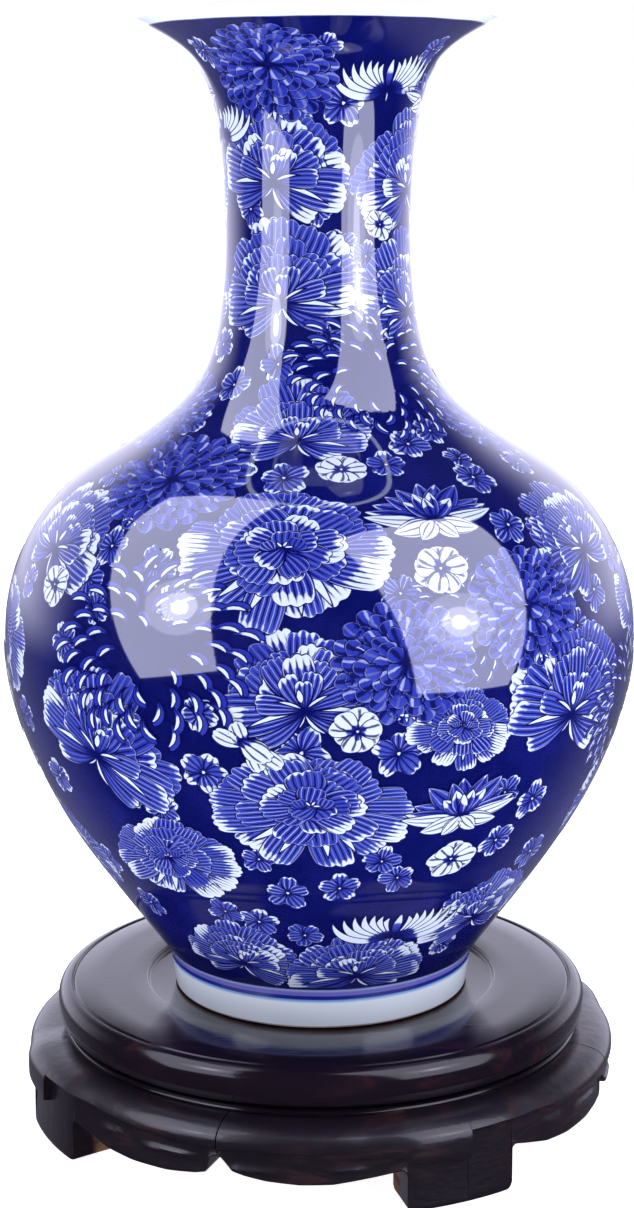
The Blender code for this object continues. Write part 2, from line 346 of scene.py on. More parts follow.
def vase_profile(wall):
    """From the middle of the inner floor, up the inside, over the lip and down to the foot."""
    outer = smooth_line(VASE_OUTLINE, OUTLINE_STEPS)
    way = directions(outer)
    inner = [(r + dz * wall, z - dr * wall) for (r, z), (dr, dz) in zip(outer, way)]
    inner = [point for point in inner[MOUTH_ROWS:] if point[1] > WALL_END]
    floor = smooth_line([(radius, INNER_FLOOR + rise) for radius, rise in FLOOR_DISH] + [inner[-1]], 6)
    tip = outer[0]
    lip = arc((tip[0] - LIP_HALF, tip[1]), LIP_HALF, VASE_HEIGHT - tip[1], 180.0, 0.0, 10)[:-1]
    ring = FOOT_RADIUS - FOOT_WIDTH
    edge = (FOOT_RADIUS - FOOT_EDGE, FOOT_EDGE)
    foot = smooth_line([outer[-1], *FOOT_HOLLOW], 3)[1:]
    foot += arc(edge, FOOT_EDGE, FOOT_EDGE, 0.0, -90.0, 4)
    foot += arc((ring + FOOT_EDGE, FOOT_EDGE), FOOT_EDGE, FOOT_EDGE, -90.0, -180.0, 4)
    foot += [(ring + across, FOOT_DEPTH + rise) for across, rise in UNDERSIDE] + [(0.0, FOOT_DEPTH)]
    line = floor[:-1] + inner[::-1] + lip + outer + foot
    return [(radius, height + SEAT) for radius, height in line]


def ground_look(colours):
    """Mottled cobalt between a white lip and a lined white foot band."""
    look = Look("cobalt_ground", Roughness=0.045, IOR=2.1)
    height = look.parts(look.place())[2] / MM - SEAT
    cloud = look.noise(30.0, detail=5.0, roughness=0.62, distortion=0.6)
    speck = look.noise(150.0, detail=3.0, roughness=0.6, stretch=(1.0, 1.0, 0.6))
    thin = cloud.rise(0.42, 0.72) * 0.6 + speck.rise(0.48, 0.72) * 0.35
    colour = look.mix(thin, tuple(colours.ground), tuple(colours.wash))
    waver = (look.noise(55.0, detail=2.0) - 0.5) * 0.35
    level = height + waver
    colour = look.mix(level.rise(LIP_WHITE, LIP_WHITE + 0.5), colour, PLAIN_WHITE)
    for start, end, band in FOOT_BANDS:
        colour = look.mix(level.rise(start, end), colour, band)
    look.link("Base Color", colour)
    return look.material


def glaze_look(colours):
    """Clear glaze over white porcelain for the vase's inside and underside: a little blue where it
    pools, and kept darker than the outside's white as painted shade.
    """
    look = Look("white_glaze_painted_shade", Roughness=0.06, IOR=1.85)
    pool = look.noise(45.0, detail=3.0).rise(0.35, 0.75)
    # Painted shade: both whites sit well below PLAIN_WHITE, this glaze's colour outside; the bluer
    # pools are real.
    look.link("Base Color", look.mix(pool, (0.60, 0.69, 0.77), (0.50, 0.61, 0.74)))
    return look.material


def clay_look():
    """Bare fired edge that the glaze was wiped from."""
    look = Look("fired_clay", Roughness=0.62)
    grit = look.noise(900.0, detail=4.0)
    stain = look.noise(60.0, detail=2.0).rise(0.4, 0.7)
    warm = look.mix(stain, (0.62, 0.47, 0.38), (0.42, 0.27, 0.20))
    look.link("Base Color", look.mix(grit.rise(0.35, 0.75) * 0.5, warm, (0.72, 0.62, 0.54)))
    look.bump(grit, 0.25, 0.0002)
    return look.material


class MESH_OT_vase_shell(bpy.types.Operator):
    """The porcelain shell, spun from its outline"""
    bl_idname = "mesh.vase_shell"
    bl_label = "Vase shell"
    bl_options = {"REGISTER", "UNDO"}

    def execute(self, context):
        colours = chosen("vase_look")
        shell = spun("porcelain_shell", vase_profile(colours.wall), colours.around)
        looks = (ground_look(colours), glaze_look(colours), clay_look())
        finish_piece(shell, VASE_BODY, looks, ("vase_body",), sharp=50.0)
        outline = np.array(smooth_line(VASE_OUTLINE, OUTLINE_STEPS))[::-1]
        for face in shell.data.polygons:
            radius = math.hypot(face.center.x, face.center.y) / MM
            height = face.center.z / MM - SEAT
            outside = radius > np.interp(height, outline[:, 1], outline[:, 0]) - SKIN_DEPTH
            underside = radius < FOOT_RADIUS - 2.0 and height < FOOT_DEPTH + 0.1
            floor = radius < FOOT_RADIUS - 6.0 and height < VASE_OUTLINE[-1][1]
            if height < FOOT_EDGE:
                face.material_index = CLAY
            elif height > FOOT_TOP[1] and not outside or underside or floor:
                face.material_index = GLAZE
        return {"FINISHED"}


# ---------------------------------------------------------------- flowers

class Skin:
    """The vase's outer face, measured down its outline from the lip."""

    def __init__(self):
        line = np.array(smooth_line(VASE_OUTLINE, 40))
        self.radius, self.height = line.T
        self.along = np.concatenate(([0.0], np.cumsum(np.hypot(*np.diff(line, axis=0).T))))
        way = directions(line)
        self.out = -way[:, 1]
        self.up = way[:, 0]

    def lay(self, azimuth, height, x, y, lift):
        """Points and normals for places x to the right of and y above an anchor."""
        anchor = np.interp(-height, -self.height, self.along)
        along = np.clip(anchor - y, 1.5, self.along[-1] - 0.5)
        radius, level, out, up = (np.interp(along, self.along, values)
                                  for values in (self.radius, self.height, self.out, self.up))
        size = np.hypot(out, up)
        out, up = out / size, up / size
        angle = math.radians(azimuth) + x / radius
        sine, cosine = np.sin(angle), np.cos(angle)
        reach = radius + lift * out
        points = np.stack((reach * sine, -reach * cosine, level + lift * up + SEAT), axis=-1) * MM
        normals = np.stack((out * sine, -out * cosine, up), axis=-1)
        return points, normals


def scallops(across, lobes):
    """0 on each lobe's crown and 1 in the nicks between lobes."""
    return 1.0 - np.abs(np.sin(math.pi * lobes * (across + 1.0) / 2.0)) ** 0.6


def crown(across, drop, lobes=1, nick=0.0):
    """A petal's rounded tip, as a share of its length, with nicks between its lobes."""
    return 1.0 - drop * (1.0 - np.sqrt(1.0 - 0.93 * across ** 2)) - nick * scallops(across, lobes)


def fan_form(across, along, lobes, ratio):
    half = 0.13 + 0.87 * np.sin(math.pi * (0.02 + 0.59 * along)) ** 1.1
    nick = 0.34 * ratio / lobes if lobes > 1 else 0.04
    return half, crown(across, min(0.32 * ratio, 0.45), lobes, nick)


def round_form(across, along, lobes, ratio):
    half = 0.14 + 0.86 * np.sin(math.pi * (0.02 + 0.68 * along)) ** 1.3
    nick = 0.26 * ratio / lobes if lobes > 1 else 0.0
    return half, crown(across, min(0.45 * ratio, 0.50), lobes, nick)


def spear_form(across, along, lobes, ratio):
    return np.sin(math.pi * along ** 0.9) ** 0.85 + 0.02, np.ones_like(across)


def comma_form(across, along, lobes, ratio):
    half = np.sin(math.pi * along ** 1.35) ** 0.8 * (0.45 + 0.55 * along) + 0.03
    return half, np.ones_like(across)


class Print:
    """One printed piece: petals laid on the vase as thin sheets of glaze colour."""

    CHORD = 0.004          # how far a sheet's faces may cut below the curve they lie on
    LIFT = 0.05            # the lowest sheets' height above the shell
    LAYER = 0.010          # from one layer to the next
    BLOSSOM_LAYERS = 6     # layers kept for the small blossoms, under the large flowers
    FLOWER_LAYERS = 20     # layers of one large flower; one that overlaps it lies above them all
    BLOTCHES = (-0.10, -0.10, -0.08, -0.05, 0.0, 0.14)     # how far white runs in from a tip
    VEINED = 3             # petals with more veins than this have blotches
    TONE = 0.10            # how far a petal's tone, lean and size stray from what is asked
    LEAN = 0.30
    GROWTH = (0.88, 1.10)

    def __init__(self, skin, seed):
        self.skin = skin
        self.chance = random.Random(seed)
        self.points, self.normals, self.faces = [], [], []
        self.petals, self.edges, self.tints = [], [], []
        self.count = 0

    def anchor(self, azimuth, height, width, turn, mirror, squash, level):
        self.azimuth, self.height, self.width = azimuth, height, width
        self.turn, self.squash, self.mirror = math.radians(turn), squash, mirror
        radius = np.interp(height, self.skin.height[::-1], self.skin.radius[::-1])
        self.cell = math.sqrt(8.0 * radius * self.CHORD)
        self.line = 0.20 + 0.0022 * width
        self.base = 0 if level is None else self.BLOSSOM_LAYERS + self.FLOWER_LAYERS * level

    def petal(self, root, aim, length, width, form=fan_form, lobes=3, bend=0.0,
              tone=0.5, white=0.15, veins=3, layer=0):
        """root, length and width are shares of the flower's width; aim is clockwise from up."""
        tone += self.chance.uniform(-self.TONE, self.TONE)
        blotch = self.chance.choice(self.BLOTCHES) if veins > self.VEINED else 0.0
        white = min(white + blotch, max(white, 0.30))
        lean = self.chance.uniform(-self.LEAN, self.LEAN)
        long, wide = length * self.width, width * self.width
        columns = max(5 * lobes, math.ceil(wide / self.cell), 3)
        rows = max(4, math.ceil(long / self.cell))
        across, along = np.meshgrid(np.linspace(-1.0, 1.0, columns + 1),
                                    np.linspace(0.0, 1.0, rows + 1))
        half, top = form(across + lean * (1.0 - across ** 2), along, lobes, wide / long)
        side = across * half * wide / 2.0
        way = along * top
        if abs(bend) < 0.01:
            spine_x, spine_y = np.zeros_like(way), long * way
        else:
            spine_x = long * (1.0 - np.cos(bend * way)) / bend
            spine_y = long * np.sin(bend * way) / bend
        px = spine_x + side * np.cos(bend * way)
        py = spine_y - side * np.sin(bend * way)
        aim = math.radians(aim)
        x = root[0] * self.width + px * math.cos(aim) + py * math.sin(aim)
        y = (root[1] * self.width - px * math.sin(aim) + py * math.cos(aim)) * self.squash
        x = x * self.mirror
        x, y = (x * math.cos(self.turn) + y * math.sin(self.turn),
                y * math.cos(self.turn) - x * math.sin(self.turn))
        lift = self.LIFT + (self.base + layer) * self.LAYER
        points, normals = self.skin.lay(self.azimuth, self.height, x, y, lift)
        size = along.size
        index = self.count + np.arange(size).reshape(along.shape)
        self.count += size
        corners = (index[:-1, :-1], index[:-1, 1:], index[1:, 1:], index[1:, :-1])
        if self.mirror < 0.0:
            corners = corners[::-1]
        self.faces.append(np.stack(corners, axis=-1).reshape(-1, 4))
        self.points.append(points.reshape(-1, 3))
        self.normals.append(normals.reshape(-1, 3))
        seed = np.full(size, self.chance.random())
        side_edge = (1.0 - np.abs(across)) * half * wide / 2.0 / self.line
        tip_edge = (1.0 - along) * long * top / self.line
        self.petals.append(np.column_stack((across.ravel(), along.ravel(), seed)))
        self.edges.append(np.column_stack((side_edge.ravel(), tip_edge.ravel(),
                                           np.full(size, float(veins)))))
        self.tints.append(np.column_stack((np.full(size, tone), np.full(size, white), seed)))

    def pairs(self, root, *petals):
        """Petals on the left and again on the right, given as for petal but with their form first."""
        for side in (-1.0, 1.0):
            for form, aim, length, width, lobes, bend, *rest in petals:
                self.petal(root, side * aim, length, width, form, lobes, side * bend, *rest)

    def row(self, count, spread, length, width, root=(0.0, 0.0), layer=0, jitter=6.0, middle=0.0,
            start=0.0, scatter=0.0, **details):
        """A fan of petals about an upright or, with spread 180, a full ring."""
        for i in range(count):
            if spread >= 180.0:
                aim = start + 360.0 * i / count
            else:
                aim = middle - spread + 2.0 * spread * i / max(count - 1, 1)
            aim += self.chance.uniform(-jitter, jitter)
            stretch = self.chance.uniform(*self.GROWTH)
            place = [part + self.chance.uniform(-scatter, scatter) for part in root]
            self.petal(place, aim, length * stretch, width * self.chance.uniform(*self.GROWTH),
                       layer=layer + i % 3, **details)

    def piece(self, name, look):
        mesh = bpy.data.meshes.new(name)
        mesh.from_pydata(np.concatenate(self.points), [], np.concatenate(self.faces))
        attributes = {"petal": self.petals, "edge": self.edges, "tint": self.tints}
        for attribute, values in attributes.items():
            data = mesh.attributes.new(attribute, "FLOAT_VECTOR", "POINT")
            data.data.foreach_set("vector", np.concatenate(values).astype(np.float32).ravel())
        mesh.shade_smooth()
        mesh.normals_split_custom_set_from_vertices(np.concatenate(self.normals))
        mesh.update()
        piece = bpy.data.objects.new(name, mesh)
        bpy.context.scene.collection.objects.link(piece)
        piece.visible_shadow = False      # the print lies under the glaze: it throws no shadow
        piece.visible_glossy = False      # and hides nothing from the glaze beside it
        finish_piece(piece, VASE_BODY, (look,))


# The recipes draw on a Print p. A petal's numbers are its aim, length and width, form and lobes,
# bend, tone, white, veins and layer.

def side_peony(p):
    """A peony from the side: ruffled rows above its base and long petals drooping beside it."""
    base = (0.0, -0.15)
    p.petal(base, 170.0, 0.22, 0.045, spear_form, 1, -0.9, 0.3, 0.9, 0, 1)
    p.petal(base, 194.0, 0.17, 0.045, spear_form, 1, 0.9, 0.3, 0.9, 0, 1)
    p.row(8, 68.0, 0.53, 0.25, base, layer=0, scatter=0.025, tone=0.08, white=0.06, veins=6)
    p.row(7, 60.0, 0.43, 0.22, base, layer=3, scatter=0.025, tone=0.12, white=0.08, veins=5)
    p.pairs(base, (fan_form, 124.0, 0.36, 0.20, 4, -0.35, 0.30, 0.20, 6, 5),
            (fan_form, 79.0, 0.52, 0.21, 4, 0.15, 0.15, 0.12, 6, 6),
            (fan_form, 101.0, 0.50, 0.21, 4, -0.30, 0.30, 0.20, 6, 7),
            (spear_form, 90.0, 0.40, 0.040, 1, 0.40, 0.9, 1.0, 0, 9))
    p.row(5, 50.0, 0.33, 0.20, base, layer=8, scatter=0.02, tone=0.15, white=0.10, veins=5)
    p.pairs(base, (fan_form, 68.0, 0.31, 0.14, 3, 0.3, 0.20, 0.16, 5, 11),
            (fan_form, 27.0, 0.25, 0.14, 3, -0.2, 0.20, 0.16, 4, 12),
            (spear_form, 50.0, 0.20, 0.030, 1, 0.6, 0.9, 1.0, 0, 13))
    p.petal(base, 6.0, 0.19, 0.12, fan_form, 2, 0.0, 0.25, 0.24, 4, 14)
    p.petal((-0.01, -0.11), -8.0, 0.10, 0.050, spear_form, 1, 0.1, 0.95, 1.0, 0, 15)


def open_peony(p):
    """A full peony seen from above, fluted petals heaped round an off-centre heart."""
    heart = (-0.02, 0.08)
    p.row(4, 42.0, 0.56, 0.23, heart, layer=0, middle=180.0, tone=0.25, white=0.18, veins=7)
    p.pairs(heart, (fan_form, 122.0, 0.58, 0.25, 4, -0.35, 0.25, 0.22, 7, 3),
            (fan_form, 97.0, 0.56, 0.24, 4, -0.15, 0.20, 0.16, 7, 2),
            (fan_form, 76.0, 0.52, 0.23, 4, 0.15, 0.15, 0.10, 7, 1))
    p.row(7, 60.0, 0.46, 0.25, heart, layer=3, scatter=0.03, tone=0.10, white=0.05, veins=7)
    for aim in (-146.0, -168.0, 160.0, 141.0):
        p.petal(heart, aim, 0.50, 0.062, spear_form, 1, 0.25, 0.9, 1.0, 0, 6)
    for count, length, width, layer, scatter, tone, white, veins, start in (
            (9, 0.36, 0.25, 7, 0.045, 0.12, 0.10, 6, 10.0),
            (8, 0.27, 0.21, 10, 0.045, 0.18, 0.12, 6, 31.0),
            (5, 0.19, 0.17, 13, 0.035, 0.12, 0.10, 5, 75.0)):
        p.row(count, 180.0, length, width, heart, layer=layer, scatter=scatter, tone=tone,
              white=white, veins=veins, start=start)
    p.petal((0.025, 0.05), 20.0, 0.12, 0.13, round_form, 2, 0.0, 0.05, 0.0, 5, 16)
    p.petal((-0.06, 0.05), -30.0, 0.10, 0.12, round_form, 2, 0.0, 0.05, 0.0, 5, 17)
    for aim in (-50.0, 10.0, 70.0):
        p.petal(heart, aim, 0.06, 0.026, spear_form, 1, 0.5, 0.9, 1.0, 0, 18)


def scaled_chrysanthemum(p):
    """A dome of small overlapping scales."""
    middle = (0.0, 0.03)
    rings = ((20, 0.36), (18, 0.29), (15, 0.22), (12, 0.15), (8, 0.085), (4, 0.02))
    for ring, (count, reach) in enumerate(rings):
        for i in range(count):
            aim = 360.0 * (i + 0.5 * (ring % 2)) / count
            turn = math.radians(aim)
            root = (middle[0] + reach * math.sin(turn), middle[1] + reach * math.cos(turn))
            p.petal(root, aim + p.chance.uniform(-8.0, 8.0), 0.145, 0.150, round_form, 1, 0.3,
                    0.02 + 0.22 * p.chance.random(), -0.12, 1, 2 * ring + i % 3)
    for aim in (-38.0, -18.0, 0.0, 18.0, 38.0):
        p.petal((0.0, -0.30), aim + 180.0, 0.16, 0.04, spear_form, 1, aim / 60.0, 0.5, 0.7, 0, 1)


def quilled_chrysanthemum(p):
    """Dark quills that show mostly by their curled white tips."""
    quills = 58
    for i in range(quills):
        aim = i * 137.5       # each quill a golden angle on from the last
        reach = 0.05 + 0.38 * math.sqrt((i + 0.5) / quills)
        turn = math.radians(aim)
        root = (reach * math.sin(turn), reach * math.cos(turn))
        curl = 1.25 if math.sin(turn) > 0.0 else -1.25
        long = 0.15 + 0.17 * reach
        for more, width, bend, tone, white, layer in (
                (0.04, 0.074, 1.5, 0.0, -1.0, 0), (0.02, 0.040, 1.6, 0.30, 0.55, 3)):
            p.petal(root, aim - 34.0 * curl, long + more, width, comma_form, 1, bend * curl,
                    tone, white, 0, layer + i % 3)


def claw_flower(p):
    """Long slim petals that curl up and in like a claw."""
    base = (0.0, -0.20)
    for side in (-1.0, 1.0):
        for i in range(7):
            p.petal((side * 0.012, base[1]), side * (58.0 + 10.0 * i), 0.30 + 0.060 * i, 0.080,
                    spear_form, 1, -side * (1.60 + 0.05 * i), 0.75, 0.74, 0, 2 * i)
    p.petal(base, 0.0, 0.30, 0.08, spear_form, 1, 0.1, 0.7, 0.5, 0, 3)
    p.petal(base, 178.0, 0.14, 0.03, spear_form, 1, 0.5, 0.5, 0.8, 0, 1)


def lotus(p):
    """Pointed petals fanned over broad white ones."""
    base = (0.0, -0.10)
    pointed = {"form": spear_form, "lobes": 1, "veins": 2}
    p.row(7, 66.0, 0.44, 0.18, base, layer=0, tone=0.05, white=0.08, **pointed)
    p.pairs(base, (spear_form, 80.0, 0.50, 0.14, 1, -0.1, 0.10, 0.20, 2, 3),
            (spear_form, 96.0, 0.52, 0.14, 1, -0.45, 0.85, 0.75, 3, 4),
            (spear_form, 122.0, 0.36, 0.17, 1, -0.5, 0.9, 0.85, 3, 5),
            (spear_form, 150.0, 0.24, 0.15, 1, -0.3, 0.9, 0.9, 3, 6))
    p.row(4, 42.0, 0.29, 0.13, base, layer=6, tone=0.10, white=0.35, **pointed)
    p.petal(base, 0.0, 0.24, 0.10, spear_form, 1, 0.0, 0.15, 0.5, 1, 9)


def disc_blossom(p):
    """A flat round blossom with radiating lines."""
    p.row(9, 180.0, 0.50, 0.42, layer=0, jitter=1.0, lobes=1, tone=0.9, white=0.72, veins=2)
    p.petal((0.0, -0.045), 0.0, 0.09, 0.09, round_form, 1, 0.0, 0.9, 1.0, 0, 4)


def five_petals(p):
    """A small plum-like blossom."""
    p.row(5, 180.0, 0.50, 0.46, layer=0, jitter=7.0, form=round_form, lobes=2, tone=0.30,
          white=p.chance.uniform(0.14, 0.34), veins=4)
    p.petal((0.0, -0.05), 0.0, 0.10, 0.10, round_form, 1, 0.0, 0.9, 1.0, 0, 4)


def bud_and_leaf(p):
    """A white bud between toothed leaves."""
    for aim, length in ((-72.0, 0.48), (-30.0, 0.40), (118.0, 0.56), (150.0, 0.44)):
        p.petal((0.0, 0.0), aim, length, 0.27, round_form, 3, 0.25, 0.95, 0.70, 3, 0)
    p.petal((-0.10, 0.10), 125.0, 0.52, 0.36, round_form, 3, 0.2, 0.95, 0.72, 3, 3)


# How flat each flower is drawn: the scale of its heights
SQUASH = {
    side_peony: 1.0, open_peony: 0.74, scaled_chrysanthemum: 0.84, quilled_chrysanthemum: 0.80,
    claw_flower: 0.95, lotus: 0.90, disc_blossom: 0.86, bud_and_leaf: 0.90, five_petals: 1.0,
}

# The print that covers half the vase: each flower with its places' azimuth, height, width and turn
LAYOUT = (
    (side_peony, (
        (-25, 284, 50, 10), (66, 281, 48, -12), (-23, 246, 50, -6), (67, 242, 48, 8),
        (-7, 201, 46, 0), (-3, 130, 50, -8), (49, 121, 58, 10), (58, 167, 50, -20),
        (-59, 168, 52, 18), (-40, 109, 58, 26), (-23, 30, 42, 12), (11, 27, 46, -4),
        (44, 44, 44, -8), (-72, 62, 50, 6), (78, 80, 52, -10),
    )),
    (open_peony, (
        (-6, 166, 62, 0), (-1, 88, 58, 4), (-31, 66, 46, -14), (24, 113, 34, 12), (-78, 128, 54, 0),
        (82, 138, 50, 8),
    )),
    (scaled_chrysanthemum, (
        (-24, 312, 46, 0), (-39, 184, 54, 12), (14, 135, 46, 0), (38, 148, 46, -10),
        (-76, 200, 44, 0), (80, 196, 46, 10),
    )),
    (quilled_chrysanthemum, (
        (30, 214, 50, 10), (-30, 137, 62, -10), (27, 147, 40, 0), (70, 108, 48, 0),
    )),
    (claw_flower, (
        (38, 312, 38, -8), (19, 45, 42, 0), (-70, 298, 34, 0),
    )),
    (lotus, (
        (24, 178, 44, 0), (26, 88, 40, -4), (-82, 92, 44, 4), (82, 306, 34, 0),
    )),
    (disc_blossom, (
        (6, 189, 17, 0), (22, 162, 18, 0), (6, 116, 17, 0), (-55, 152, 16, 0), (40, 263, 12, 0),
        (27, 68, 18, 0),
    )),
    (bud_and_leaf, (
        (-26, 191, 24, 0), (-12, 111, 24, 0), (46, 157, 24, 30),
    )),
    (open_peony, (
        (94, 106, 42, 20),
    )),
)
HALVES = (("front", 0.0, 1.0), ("back", 180.0, -1.0))     # name, turn and mirror

# Small blossoms that fill the gaps: (azimuth, height, width)
BLOSSOMS = (
    (14, 301, 17), (13, 256, 13), (30, 253, 12), (23, 246, 12), (-21, 219, 14), (-44, 212, 14),
    (-65, 224, 14), (-54, 200, 15), (30, 195, 16), (-9, 187, 17), (19, 190, 15), (42, 185, 17),
    (41, 172, 16), (14, 156, 14), (58, 149, 16), (-31, 162, 16), (-43, 166, 15), (-46, 156, 14),
    (-49, 136, 15), (-3, 109, 18), (13, 108, 17), (-20, 101, 17), (-7, 58, 16), (-15, 45, 15),
    (-4, 40, 14), (16, 63, 13), (38, 29, 12), (43, 85, 15), (-56, 58, 16), (37, 72, 15),
    (52, 62, 16), (-62, 184, 14), (66, 186, 15), (-66, 150, 14), (72, 156, 14), (-58, 88, 16),
    (62, 98, 15), (43, 198, 14), (44, 190, 12), (-23, 48, 13), (4, 60, 14), (34, 48, 13),
    (35, 90, 14), (12, 70, 13), (-20, 120, 14), (-12, 71, 13), (-36, 90, 14), (-50, 120, 14),
    (-66, 106, 14), (72, 64, 14), (0, 268, 11), (44, 230, 12), (-50, 234, 12), (5, 226, 12),
    (-26, 152, 13), (50, 140, 13), (-42, 148, 12), (60, 200, 13), (88, 156, 15), (96, 128, 14),
    (90, 62, 14), (88, 176, 14), (88, 232, 12), (90, 268, 12), (-86, 158, 14), (-92, 74, 14),
    (-48, 44, 14), (64, 40, 15), (-80, 240, 13), (-45, 268, 13), (86, 256, 13), (-60, 318, 14),
    (62, 318, 13), (3, 318, 13), (-84, 34, 14), (84, 54, 15), (70, 214, 14), (-30, 86, 14),
)
BLOSSOM_SPRAY = 10     # small blossoms to a piece
BLOSSOM_SEED = 7
BLOSSOM_TURN = 40.0    # degrees a small blossom may lean either way


def print_look(colours):
    """Cobalt drawing: washed petals, paired veins, white rims and dark outlines."""
    look = Look("printed_petals", Roughness=0.045, IOR=2.1)
    across, along, seed = look.attribute("petal")
    side, tip, veins = look.attribute("edge")
    tone, white, _ = look.attribute("tint")
    edge = side.least(tip)
    waver = look.noise(380.0, detail=2.0) - 0.5
    wash = look.noise(120.0, detail=3.0)
    line, bright = tuple(colours.line), tuple(colours.white)
    stripe = (across * veins * math.pi + waver * 1.2 + seed * 6.0).cosine()
    lined = veins.rise(0.2, 0.8)
    blue = look.mix(along.rise(0.1, 1.0) * tone + wash.rise(0.4, 0.75) * 0.10,
                    tuple(colours.petal), tuple(colours.petal_pale))
    colour = look.mix(along.rise(0.02, 0.42), line, blue)
    lean = across * (seed - 0.5) * 0.30
    reach = along + stripe * 0.050 * lined + waver * 0.24 + lean * lined
    colour = look.mix((reach + white).rise(0.99, 1.08) * (white + 1.0).rise(0.0, 0.5), colour, bright)
    pale = stripe.rise(0.80, 1.00) * lined * along.rise(0.10, 0.38)
    colour = look.mix(pale * (0.05 + seed * 0.50), colour, bright)
    dark = stripe.rise(-0.50, -0.88) * lined * along.rise(0.10, 0.25) * along.rise(0.97, 0.82)
    colour = look.mix(dark * 0.90, colour, line)
    rim = edge.rise(2.3, 1.7) * along.rise(0.45, 0.80) * white.rise(-0.5, 0.3)
    colour = look.mix(rim * 0.45, colour, bright)
    colour = look.mix(edge.rise(1.6, 1.0), colour, line)
    look.link("Base Color", colour)
    return look.material


def printed(name, skin, look, recipe, seed, places):
    """One piece with a flower at each of its places."""
    sheet = Print(skin, seed)
    for azimuth, height, width, turn, mirror, level in places:
        sheet.anchor(azimuth, height, width, turn, mirror, SQUASH[recipe], level)
        recipe(sheet)
    sheet.piece(name, look)


def print_material():
    return bpy.data.materials.get("printed_petals") or print_look(chosen("vase_look"))


class MESH_OT_vase_flowers(bpy.types.Operator):
    """The large printed flowers, once on the front half and again on the back"""
    bl_idname = "mesh.vase_flowers"
    bl_label = "Large flowers"
    bl_options = {"REGISTER", "UNDO"}

    def execute(self, context):
        skin = Skin()
        look = print_material()
        flowers = [(recipe, *place) for recipe, places in LAYOUT for place in places]
        laid = []
        for half, (side, turned, mirror) in enumerate(HALVES):
            for number, (recipe, azimuth, height, width, turn) in enumerate(flowers):
                azimuth += turned
                middle = skin.lay(azimuth, height, 0.0, 0.0, 0.0)[0] / MM
                taken = {level for other, size, level in laid
                         if np.linalg.norm(middle - other) < 0.5 * (width + size)}
                level = min(set(range(len(laid) + 1)) - taken)
                laid.append((middle, width, level))
                place = (azimuth, height, width, turn * mirror, mirror, level)
                name = "%s_%s_%02d" % (recipe.__name__, side, number + 1)
                printed(name, skin, look, recipe, 100 * half + number, [place])
        return {"FINISHED"}


class MESH_OT_vase_blossoms(bpy.types.Operator):
    """The small printed blossoms between the large flowers"""
    bl_idname = "mesh.vase_blossoms"
    bl_label = "Small blossoms"
    bl_options = {"REGISTER", "UNDO"}

    def execute(self, context):
        skin = Skin()
        look = print_material()
        chance = random.Random(BLOSSOM_SEED)
        for side, turned, mirror in HALVES:
            places = [(azimuth + turned, height, width, chance.uniform(-BLOSSOM_TURN, BLOSSOM_TURN),
                       mirror, None) for azimuth, height, width in sorted(BLOSSOMS)]
            for first in range(0, len(places), BLOSSOM_SPRAY):
                name = "blossom_spray_%s_%d" % (side, first // BLOSSOM_SPRAY + 1)
                spray = places[first:first + BLOSSOM_SPRAY]
                printed(name, skin, look, five_petals, first, spray)
        return {"FINISHED"}


# ---------------------------------------------------------------- stand

GAP = 0.3                         # left between neighbouring pieces
RECESS_RADIUS = 61.0
RECESS_FLOOR = SEAT - GAP
GROOVE_RADIUS = 87.4
GROOVE = ((-1.2, 0.0), (-0.8, -0.15), (-0.35, -0.65), (0.0, -0.8), (0.3, -0.6))
BEAD_REACH = 4.5
BEAD_DROP = 5.0
WAIST_INNER = 78.0
WAIST_HOLLOW = 0.8
FACES_AROUND = 224

BASE_RADIUS = 101.0               # the apron's face, under the collar
LEDGE_INNER = 78.0
LEDGE_UNDERSIDE = 21.0
APRON_INNER = 87.0
JOINT_HALF_GAP = 0.12             # degrees from a quarter's end to the middle of the joint
MM_PER_DEGREE = math.radians(BASE_RADIUS)
COLLAR_ROOT = 90.5                # where the collar rises from the base's flat top
COLLAR_RADIUS = 102.7
COLLAR_MIDDLE = 22.6              # the collar stands upright below this height
COLLAR_POWER = 2.3
FOOT_BULGE = 2.2
FOOT_HALF = 10.7                  # half a foot's width, in degrees
FOOT_ROUND = 2.2                  # rounding of a foot's lower corners
APRON_ROUND = 2.6                 # rounding where a foot leaves the apron
LOWER_EDGE = (                    # apron edge: (degrees from the foot's middle, height)
    (-45.0, 17.6), (-44.2, 17.2), (-43.4, 15.6), (-42.2, 13.6), (-40.0, 12.2), (-36.0, 11.0),
    (-30.0, 10.2), (-24.0, 10.4), (-17.0, 12.2), (-10.7, 14.2), (10.7, 15.2), (15.5, 12.9),
    (20.5, 10.7), (27.0, 9.7), (35.0, 9.8), (40.5, 10.9), (42.6, 11.8), (43.1, 13.2),
    (43.4, 16.4), (44.0, 17.4), (45.0, 17.6),
)
COLLAR_EDGE = (                   # lower edge of the collar, which steps up at the foot's middle
    (-45.0, 20.3), (-40.0, 20.9), (-31.0, 21.4), (-22.0, 20.8), (-14.0, 18.9), (-7.0, 16.6),
    (0.9, 15.6), (1.2, 24.4), (8.0, 24.6), (16.0, 23.8), (26.0, 22.3), (37.0, 21.2), (45.0, 20.3),
)
COLLAR_STEP = {0.85, 0.92, 1.02, 1.12, 1.2, 1.3}     # columns at the collar's step
COLLAR_RISE = 0.9                 # the collar's top is this much higher over a foot
COLLAR_ROWS = 10
APRON_ROWS = 14
APRON_FLARE = 0.9                 # how far the apron's lower edge stands out
FOOT_BLEND = (19.0, 11.0)         # degrees from a foot's middle where its bulge ends, and its slope
COLUMN_STEP = 0.55                # degrees between cross-sections, and closer ones at the joints
JOINT_COLUMNS = (42.2, 44.2, 0.15)
